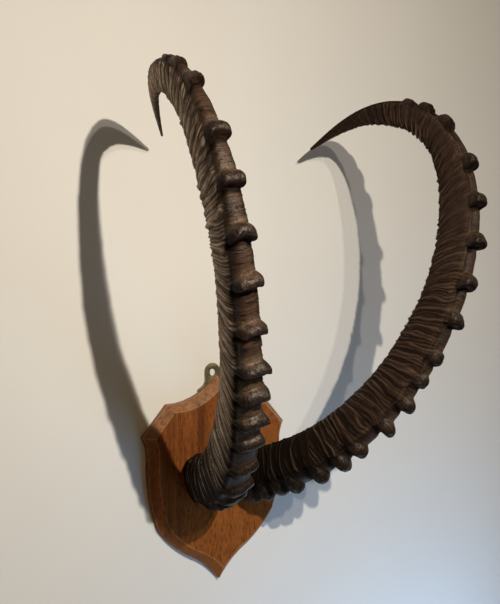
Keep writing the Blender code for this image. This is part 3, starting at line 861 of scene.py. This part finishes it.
def make_edge_wear(name):
    """Worn edges: how far the surface turns from its rounded self, broken up by noise."""
    tree, nodes, start, end = new_group(name, {"Radius": 0.001, "Amount": 1.0}, ("Mask",))
    rounded = nodes.add("ShaderNodeBevel", {"Radius": start["Radius"]}, samples=4)
    plain = nodes.add("ShaderNodeNewGeometry")
    turn = nodes.add("ShaderNodeVectorMath", {0: rounded.outputs[0], 1: plain.outputs["Normal"]},
                     operation="DOT_PRODUCT").outputs["Value"]
    edge = nodes.span(turn, 0.995, 0.93)
    broken = nodes.times(edge, nodes.span(nodes.noise(start["Place"], 260.0, 3.0, 0.6), 0.30, 0.55))
    nodes.feed(end["Mask"], nodes.times(broken, start["Amount"], True))
    return tree


GROUP_MAKERS = {"grime": make_grime, "edge_wear": make_edge_wear}


def place_group(nodes, name, place, **values):
    """Put a shared group in a material with its own values. Its first use makes it."""
    tree = bpy.data.node_groups.get(name) or GROUP_MAKERS[name](name)
    return nodes.add("ShaderNodeGroup", {"Place": place, **values}, node_tree=tree).outputs


def horn_places(nodes):
    """Where a point lies on its horn, from the vectors that the grown surface carries."""
    found = {"grain": nodes.attribute("grain")}
    for name, labels in HORN_VECTORS.items():
        found.update(zip(labels, nodes.parts(nodes.attribute(name))))
    found["forward"], found["sideways"], _ = nodes.parts(found["grain"])
    found["outer"] = nodes.span(found["sideways"], -0.006, 0.012)
    return SimpleNamespace(**found)


def horn_patterns(nodes, grain):
    """Noises on the horn's grain, which runs round it and along its growth lines."""
    return SimpleNamespace(
        threads=nodes.noise(grain, 90.0, 4.0, 0.6, (1, 1, 9)),
        streaks=nodes.noise(grain, 420.0, 3.0, 0.6, (1, 1, 0.12)),
        cross=nodes.noise(grain, 120.0, 3.0, 0.6, (0.3, 0.3, 6)),
        cracks=nodes.span(nodes.noise(grain, 110.0, 1.0, stretch=(0.5, 0.5, 4)), 0.60, 0.66),
        mottle=nodes.noise(grain, 620.0, 3.0, 0.65),
        patches=place_group(nodes, "grime", grain, Scale=45.0, Amount=1.0)["Mask"],
        blots=nodes.noise(grain, 130.0, 3.0, 0.65, (1, 1, 1.3)),
        blotches=nodes.span(nodes.noise(grain, 75.0, 2.0, stretch=(1, 1, 1.6)), 0.46, 0.66),
    )


def ridge_colour(nodes, place, pattern, settings):
    """Tops of the growth ridges: grey-brown outside, brown inside, dusty at the rear and base."""
    behind = nodes.span(place.forward, -0.004, 0.011, 1.0, 0.35)
    ridge = nodes.blend(nodes.times(place.outer, behind), settings.inner, settings.side)
    ridge = nodes.blend(nodes.times(pattern.blotches, 0.28), ridge, settings.front)
    dusty = nodes.times(place.rear, nodes.span(place.outer, 0.0, 1.0, 0.10, 0.85), True)
    ridge = nodes.blend(dusty, ridge, settings.dust_and_sheen)
    ridge = nodes.blend(nodes.times(place.near_base, 0.22), ridge, settings.dust_and_sheen)
    at_tip = nodes.times(nodes.span(place.share, 0.78, 0.92, 0.0, 0.6),
                         nodes.span(place.outer, 0.0, 1.0, 1.0, 0.0))
    return nodes.blend(at_tip, ridge, settings.dark)


def side_colour(nodes, place, pattern, ridge, settings):
    """Sides: ridges over dark grooves, broken by threads and blots, and darker at the base."""
    crest = nodes.plus(place.ring, nodes.times(pattern.threads, 0.45))
    crest = nodes.minus(crest, nodes.times(place.near_base, 0.35))
    crest = nodes.times(nodes.span(crest, 0.36, 0.82),
                        nodes.span(pattern.blots, 0.36, 0.62, 0.55, 1.15), True)
    shown = nodes.times(nodes.span(place.share, 0.10, 0.30, 0.03, 0.15),
                        nodes.span(place.share, 0.55, 0.80, 1.0, 0.45))
    groove = nodes.blend(shown, settings.dark, ridge)
    colour = nodes.blend(crest, groove, ridge)
    return nodes.blend(nodes.times(place.near_base, 0.58), colour, settings.dark)


def front_colour(nodes, place, pattern, settings):
    """Worn front: brown cross lines, dark streaks and cracks, and painted shade towards both sides."""
    red = nodes.blend(nodes.span(pattern.cross, 0.30, 0.66), settings.dark, settings.front)
    streaks = nodes.times(nodes.span(pattern.streaks, 0.50, 0.70), 0.5)
    red = nodes.blend(streaks, red, settings.knob)
    red = nodes.blend(nodes.times(pattern.cracks, 0.8), red, settings.dark)
    # Painted shade on the front's outer part, weaker towards the tip.
    shaded = nodes.times(nodes.span(place.sideways, 0.003, 0.014, 0.0, 0.78),
                         nodes.span(place.share, 0.62, 0.76, 1.0, 0.1))
    red = nodes.blend(shaded, red, settings.dark)
    # Painted shade on the front's inner part.
    return nodes.blend(nodes.span(place.sideways, -0.012, -0.004, 0.60, 0.0), red, settings.dark)


def knob_colour(nodes, place, pattern, ridge, settings):
    """Dark pitted knobs, which near the tip take the tone of the horn beside them."""
    pitted = nodes.plus(nodes.times(pattern.patches, 0.4), nodes.times(pattern.mottle, 0.9))
    crown = nodes.blend(nodes.span(pitted, 0.36, 0.86), settings.dark, settings.knob)
    return nodes.blend(nodes.span(place.share, 0.66, 0.78, 0.0, 0.6), crown,
                       nodes.blend(place.outer, settings.front, ridge))


def horn_colour(nodes, place, pattern, settings):
    """Sides, then the front and knobs, painted shade under the knobs, pale rubbed rims and a
    painted highlight on the ledges, with a darker low front and painted shade on the right horn's
    front.
    """
    ridge = ridge_colour(nodes, place, pattern, settings)
    colour = side_colour(nodes, place, pattern, ridge, settings)
    worn = nodes.times(nodes.span(place.share, 0.04, 0.24),
                       nodes.span(place.share, 0.72, 0.80, 1.0, 0.0))
    colour = nodes.blend(nodes.times(place.face, worn), colour,
                         front_colour(nodes, place, pattern, settings))
    colour = nodes.blend(nodes.span(place.knob, 0.45, 0.95), colour,
                         knob_colour(nodes, place, pattern, ridge, settings))
    # Painted shade under the knobs, at their outer ends and in the dip behind the front's corner.
    colour = nodes.blend(nodes.times(place.under, 0.94), colour, settings.dark)
    # Painted highlight on the ledges above the knobs, with the pale rubbed rim, in the dust colour.
    painted_ledge_highlight = nodes.times(place.ledge, nodes.span(pattern.mottle, 0.35, 0.65, 0.10, 0.42))
    pale = nodes.times(nodes.most(nodes.times(place.rim, 0.40), painted_ledge_highlight),
                       nodes.span(place.share, 0.10, 0.42, 0.30, 1.0))
    colour = nodes.blend(pale, colour, settings.dust_and_sheen)
    # Darker low and upper front; painted shade also darkens the right horn's front and knobs.
    low_front = nodes.most(nodes.span(place.share, 0.14, 0.40, 0.74, 0.0),
                           nodes.times(place.shade, 0.42))
    low_front = nodes.most(low_front, nodes.span(place.share, 0.58, 0.78, 0.0, 0.36))
    low_front = nodes.times(low_front, nodes.most(place.knob, place.face))
    return nodes.blend(low_front, colour, settings.dark)


def horn_relief(nodes, place, pattern):
    """Height of the fine relief: threads on the sides, lines and cracks in front, pitted knobs."""
    side = nodes.times(pattern.threads, nodes.span(place.face, 0.0, 1.0, 1.0, 0.25))
    front = nodes.minus(nodes.plus(pattern.cross, pattern.streaks), pattern.cracks)
    relief = nodes.plus(side, nodes.times(nodes.times(front, place.face), 0.35))
    return nodes.plus(relief, nodes.times(pattern.mottle,
                                          nodes.span(place.knob, 0.0, 1.0, 0.25, 1.70)))


def horn_polish(nodes, place, pattern):
    """Weight of the satin coat: knobs and the front's outer part, less on undersides and tips."""
    face = nodes.times(place.face, nodes.span(place.sideways, -0.014, -0.005, 0.15, 0.62))
    polish = nodes.times(nodes.most(nodes.times(place.knob, 0.76), face),
                         nodes.span(pattern.mottle, 0.36, 0.56, 0.2, 1.0))
    shown = nodes.times(nodes.span(place.under, 0.05, 0.5, 1.0, 0.0),
                        nodes.span(place.share, 0.62, 0.76, 1.0, 0.25))
    return nodes.times(polish, shown)


def horn_material(settings):
    """Old horn: grey-brown ridges over dark grooves, a brown worn front and satin knobs."""
    material, nodes, shader = new_material("horn_finish")
    place = horn_places(nodes)
    place.near_base = nodes.span(place.share, 0.04, 0.25, 1.0, 0.0)
    pattern = horn_patterns(nodes, place.grain)
    nodes.feed(shader.inputs["Base Color"], horn_colour(nodes, place, pattern, settings))
    rough = nodes.plus(nodes.span(place.face, 0.0, 1.0, 0.62, 0.46),
                       nodes.span(pattern.mottle, 0.3, 0.7, -0.08, 0.12))
    nodes.feed(shader.inputs["Roughness"], nodes.minus(rough, nodes.times(place.knob, 0.06), True))
    relief = horn_relief(nodes, place, pattern)
    nodes.feed(shader.inputs["Normal"], nodes.bump(relief, 0.0012, 0.8))
    uneven = nodes.plus(pattern.mottle, pattern.blots)
    nodes.feed(shader.inputs["Coat Normal"], nodes.bump(uneven, 0.0010, 0.7))
    nodes.feed(shader.inputs["Coat Weight"], horn_polish(nodes, place, pattern))
    shader.inputs["Coat Roughness"].default_value = 0.36
    shader.inputs["IOR"].default_value = 1.54
    shader.inputs["Specular IOR Level"].default_value = 0.03
    return material


def oak_material(settings):
    """Stained oak: bands and pores along the upright grain, worn pale on the edges."""
    material, nodes, shader = new_material("oak_finish")
    place = nodes.object_place()
    sway = nodes.noise(place, 9.0, 2.0, stretch=(1, 1, 0.25))
    bands = nodes.noise(place, 95.0, 5.0, 0.62, (1, 1, 0.07))
    broad = nodes.noise(place, 16.0, 3.0, stretch=(1, 1, 0.2))
    pores = nodes.span(nodes.noise(place, 1400.0, 2.0, 0.5, (1, 1, 0.09)), 0.54, 0.68)
    tone = nodes.plus(nodes.times(bands, 0.6), nodes.times(nodes.plus(broad, sway), 0.3))
    colour = nodes.blend(nodes.span(tone, 0.46, 0.60), settings.deep, settings.light)
    colour = nodes.blend(nodes.times(pores, 0.88), colour, settings.pore)
    patches = place_group(nodes, "grime", place, Scale=22.0, Amount=0.35)
    colour = nodes.blend(patches["Mask"], colour, settings.deep)
    worn = place_group(nodes, "edge_wear", place, Radius=0.0022, Amount=1.0)
    colour = nodes.blend(worn["Mask"], colour, settings.worn)
    # Dust and a painted highlight, lighter where the bevels face upwards.
    facing = nodes.add("ShaderNodeNewGeometry").outputs["True Normal"]
    dusty = nodes.times(nodes.span(nodes.parts(facing)[2], 0.25, 0.60),
                        nodes.span(patches["Fine"], 0.35, 0.65, 0.06, 0.44), True)
    nodes.feed(shader.inputs["Base Color"], nodes.blend(dusty, colour, settings.dust_and_sheen))
    rough = nodes.plus(nodes.span(bands, 0.3, 0.7, 0.36, 0.50), nodes.times(pores, 0.25), True)
    nodes.feed(shader.inputs["Roughness"], rough)
    relief = nodes.minus(nodes.times(bands, 0.35), pores)
    nodes.feed(shader.inputs["Normal"], nodes.bump(relief, 0.0004, 0.7))
    shader.inputs["Specular IOR Level"].default_value = 0.20
    return material


def metal_material(name, colour, tarnish, roughness):
    """Old metal: tarnish in patches, brighter where it is rubbed."""
    material, nodes, shader = new_material(name)
    place = nodes.object_place()
    patches = place_group(nodes, "grime", place, Scale=240.0, Amount=0.85)
    worn = place_group(nodes, "edge_wear", place, Radius=0.0006, Amount=0.7)
    bright = tuple(min(1.0, 2.0 * part) for part in colour)
    mixed = nodes.blend(patches["Mask"], colour, tarnish)
    nodes.feed(shader.inputs["Base Color"], nodes.blend(worn["Mask"], mixed, bright))
    nodes.feed(shader.inputs["Roughness"],
               nodes.span(patches["Mask"], 0.0, 1.0, roughness, roughness + 0.25))
    nodes.feed(shader.inputs["Metallic"], nodes.span(patches["Mask"], 0.0, 1.0, 1.0, 0.55))
    nodes.feed(shader.inputs["Normal"], nodes.bump(patches["Fine"], 0.0002, 0.6))
    return material


def add_softened(name, node, material, width, segments):
    """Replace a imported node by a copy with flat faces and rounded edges.

    Its triangles are merged and flat neighbours dissolved. A bevel then rounds the edges that
    turn sharply and keeps the flat faces flat.
    """
    bm = bmesh.new()
    bm.from_mesh(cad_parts[node].data)
    bmesh.ops.remove_doubles(bm, verts=bm.verts[:], dist=MERGE_DISTANCE)
    bmesh.ops.dissolve_limit(bm, angle_limit=FLAT_TURN, verts=bm.verts[:], edges=bm.edges[:])
    mesh = bpy.data.meshes.new(name)
    bm.to_mesh(mesh)
    bm.free()
    mesh.shade_smooth()
    rounding = add_piece(mesh, node, material).modifiers.new("rounding", "BEVEL")
    rounding.width = width
    rounding.segments = segments
    rounding.limit_method = "ANGLE"
    rounding.angle_limit = SHARP_TURN
    rounding.harden_normals = True
    rounding.use_clamp_overlap = True


class IBEX_OT_horns(bpy.types.Operator):
    """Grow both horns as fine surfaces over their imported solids"""
    bl_idname = "ibex.horns"
    bl_label = "Horns"

    def execute(self, context):
        settings = context.scene.ibex_horn
        material = horn_material(settings)
        for side in SIDES:
            add_piece(make_horn(side, settings), "horn_" + side, material)
        return {"FINISHED"}


class IBEX_OT_shield(bpy.types.Operator):
    """Finish the oak shield with rounded, worn edges"""
    bl_idname = "ibex.shield"
    bl_label = "Shield"

    def execute(self, context):
        settings = context.scene.ibex_board
        add_softened("shield_oak", "shield_board", oak_material(settings),
                     settings.rounding, 3)
        return {"FINISHED"}


class IBEX_OT_metalwork(bpy.types.Operator):
    """Finish the hanger plate and the screws as old metal"""
    bl_idname = "ibex.metalwork"
    bl_label = "Plate and screws"

    def execute(self, context):
        settings = context.scene.ibex_metal
        plate = metal_material("plate_finish", settings.plate, settings.tarnish,
                               PLATE_ROUGHNESS)
        screw = metal_material("screw_finish", settings.screw, settings.tarnish,
                               SCREW_ROUGHNESS)
        add_softened("hanger_plate_worn", "hanger_plate", plate, PLATE_ROUNDING, 2)
        for node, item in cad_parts.items():
            if "screw" in node:
                item.data.materials.clear()
                item.data.materials.append(screw)
        return {"FINISHED"}


def stage_material(colour):
    """Plain pale paint that is clear from behind, so that the object's back can be seen."""
    material, nodes, shader = new_material("studio_paint")
    mottled = nodes.noise(nodes.object_place(), 5.0, 3.0)
    tint = nodes.blend(nodes.span(mottled, 0.3, 0.7), colour,
                       tuple(part * 0.97 for part in colour))
    nodes.feed(shader.inputs["Base Color"], tint)
    shader.inputs["Roughness"].default_value = 0.9
    clear = nodes.add("ShaderNodeBsdfTransparent")
    behind = nodes.add("ShaderNodeNewGeometry").outputs["Backfacing"]
    mixed = nodes.add("ShaderNodeMixShader", {0: behind, 1: shader.outputs[0],
                                              2: clear.outputs[0]})
    output = next(node for node in nodes.tree.nodes if node.type == "OUTPUT_MATERIAL")
    nodes.feed(output.inputs["Surface"], mixed.outputs[0])
    return material


def shield_opening():
    """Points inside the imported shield's back outline: the reach in each direction, less an inset."""
    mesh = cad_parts["shield_board"].data
    points = np.array([vertex.co for vertex in mesh.vertices])
    back = points[points[:, 1] > -0.1 * MM][:, (0, 2)]
    turn = np.arctan2(back[:, 1], back[:, 0])
    reach = np.hypot(back[:, 0], back[:, 1])
    at = np.linspace(-np.pi, np.pi, OPENING_POINTS, endpoint=False)
    gap = np.abs(np.angle(np.exp(1j * (turn[None, :] - at[:, None]))))
    far = np.where(gap < OPENING_WINDOW, reach[None, :], 0).max(axis=1)
    known = far > LEAST_REACH
    far = np.interp(at, at[known], far[known], period=2 * np.pi)
    return np.stack([np.cos(at), np.sin(at)], axis=1) * (far - OPENING_INSET)[:, None]


def add_backdrop(name, points, faces, material):
    """Put a flat part of the studio in the scene."""
    mesh = bpy.data.meshes.new(name)
    mesh.from_pydata(points, [], faces)
    mesh.materials.append(material)
    item = bpy.data.objects.new(name, mesh)
    bpy.context.scene.collection.objects.link(item)


def make_wall(material):
    """A pale wall just behind the shield, with an opening that the shield covers.

    Each point of the opening has its partner where its direction meets the wall's edge, and the
    partners nearest to the four corners move into them.
    """
    inner = shield_opening()
    (low, high), (bottom, top) = WALL_ACROSS, WALL_UP
    direction = inner / np.linalg.norm(inner, axis=1, keepdims=True)
    scale = np.min(np.where(direction > 0, np.array([high, top]) / np.maximum(direction, 1e-9),
                            np.array([low, bottom]) / np.minimum(direction, -1e-9)), axis=1)
    outer = direction * scale[:, None]
    for corner in ((low, bottom), (high, bottom), (high, top), (low, top)):
        outer[np.argmin(np.linalg.norm(outer - corner, axis=1))] = corner
    count = len(inner)
    flat = np.concatenate([inner, outer])
    points = np.stack([flat[:, 0], np.full(2 * count, WALL_GAP), flat[:, 1]], axis=1)
    index = np.arange(count)
    beside = np.roll(index, -1)
    faces = np.stack([index, index + count, beside + count, beside], axis=1)
    add_backdrop("studio_wall", points.tolist(), faces.tolist(), material)


def make_floor(material):
    """A pale floor under the wall."""
    reach, level = FLOOR_REACH, WALL_UP[0]
    points = [(-reach, -reach, level), (reach, -reach, level), (reach, reach, level),
              (-reach, reach, level)]
    add_backdrop("studio_floor", points, [(0, 1, 2, 3)], material)


def add_light(name, place, target, size, power, colour, spread):
    """A round soft light that looks at a target, with the width of its beam in degrees."""
    data = bpy.data.lights.new(name, "AREA")
    data.shape = "DISK"
    data.size = size
    data.energy = power
    data.color = colour
    data.spread = math.radians(spread)
    light = bpy.data.objects.new(name, data)
    bpy.context.scene.collection.objects.link(light)
    light.location = place
    light.rotation_euler = (Vector(target) - Vector(place)).to_track_quat("-Z", "Y").to_euler()
    return light


def add_camera(settings):
    """The camera at the photograph's angle, with its roll."""
    turn, lift = settings.azimuth, settings.elevation
    back = Vector((-math.sin(turn) * math.cos(lift), -math.cos(turn) * math.cos(lift),
                   math.sin(lift)))
    data = bpy.data.cameras.new("camera")
    data.sensor_width = 36.0
    data.sensor_fit = "HORIZONTAL"
    data.lens = settings.lens
    camera = bpy.data.objects.new("camera", data)
    bpy.context.scene.collection.objects.link(camera)
    camera.location = Vector(CAMERA_TARGET) + back * settings.distance
    look = (-back).to_track_quat("-Z", "Y").to_matrix().to_4x4()
    camera.matrix_world = (Matrix.Translation(camera.location) @ look
                           @ Matrix.Rotation(settings.roll, 4, "Z"))
    bpy.context.scene.camera = camera


def add_world():
    """A dim warm glow that lights the pieces, seen by the camera as plain pale grey."""
    world = bpy.data.worlds.new("studio_world")
    world.use_nodes = True
    world.node_tree.nodes.clear()
    sky = Nodes(world.node_tree)
    glow = sky.add("ShaderNodeBackground", {"Color": (1.0, 0.66, 0.26), "Strength": 0.14})
    pale = sky.add("ShaderNodeBackground", {"Color": (0.56, 0.55, 0.52), "Strength": 1.0})
    seen = sky.add("ShaderNodeLightPath").outputs["Is Camera Ray"]
    both = sky.add("ShaderNodeMixShader", {0: seen, 1: glow.outputs[0], 2: pale.outputs[0]})
    sky.add("ShaderNodeOutputWorld", {"Surface": both.outputs[0]})
    bpy.context.scene.world = world


class IBEX_OT_stage(bpy.types.Operator):
    """Set up the wall, the floor, the soft lights and the camera"""
    bl_idname = "ibex.stage"
    bl_label = "Stage"

    def execute(self, context):
        settings = context.scene.ibex_studio
        paint = stage_material(settings.wall)
        make_wall(paint)
        make_floor(paint)
        lights = {name: add_light(name, *values) for name, values in LIGHTS.items()}
        lights["cool_low"].visible_glossy = False
        lights["sheen"].visible_diffuse = False
        add_world()
        context.scene.view_settings.view_transform = "Standard"
        add_camera(settings)
        return {"FINISHED"}


OPERATORS = (IBEX_OT_stage, IBEX_OT_horns, IBEX_OT_shield, IBEX_OT_metalwork)


class IBEX_PT_panel(bpy.types.Panel):
    """Lists the settings and the operators"""
    bl_idname = "IBEX_PT_panel"
    bl_label = "Ibex Horns"
    bl_space_type = "VIEW_3D"
    bl_region_type = "UI"
    bl_category = "Ibex Horns"

    def draw(self, context):
        for key, kind in SETTINGS.items():
            box = self.layout.box()
            group = getattr(context.scene, key)
            for name in kind.__annotations__:
                box.prop(group, name)
        for kind in OPERATORS:
            self.layout.operator(kind.bl_idname)


def register():
    """Register the settings, the operators and the panel."""
    for kind in (*SETTINGS.values(), *OPERATORS, IBEX_PT_panel):
        bpy.utils.register_class(kind)
    for key, kind in SETTINGS.items():
        setattr(bpy.types.Scene, key, bpy.props.PointerProperty(type=kind))


def unregister():
    """Take the classes and their settings out again."""
    for key in SETTINGS:
        delattr(bpy.types.Scene, key)
    for kind in reversed((*SETTINGS.values(), *OPERATORS, IBEX_PT_panel)):
        bpy.utils.unregister_class(kind)


def main():
    """Build the stage and every piece."""
    register()
    bpy.ops.ibex.stage()
    bpy.ops.ibex.horns()
    bpy.ops.ibex.shield()
    bpy.ops.ibex.metalwork()


if __name__ == "__main__":
    main()
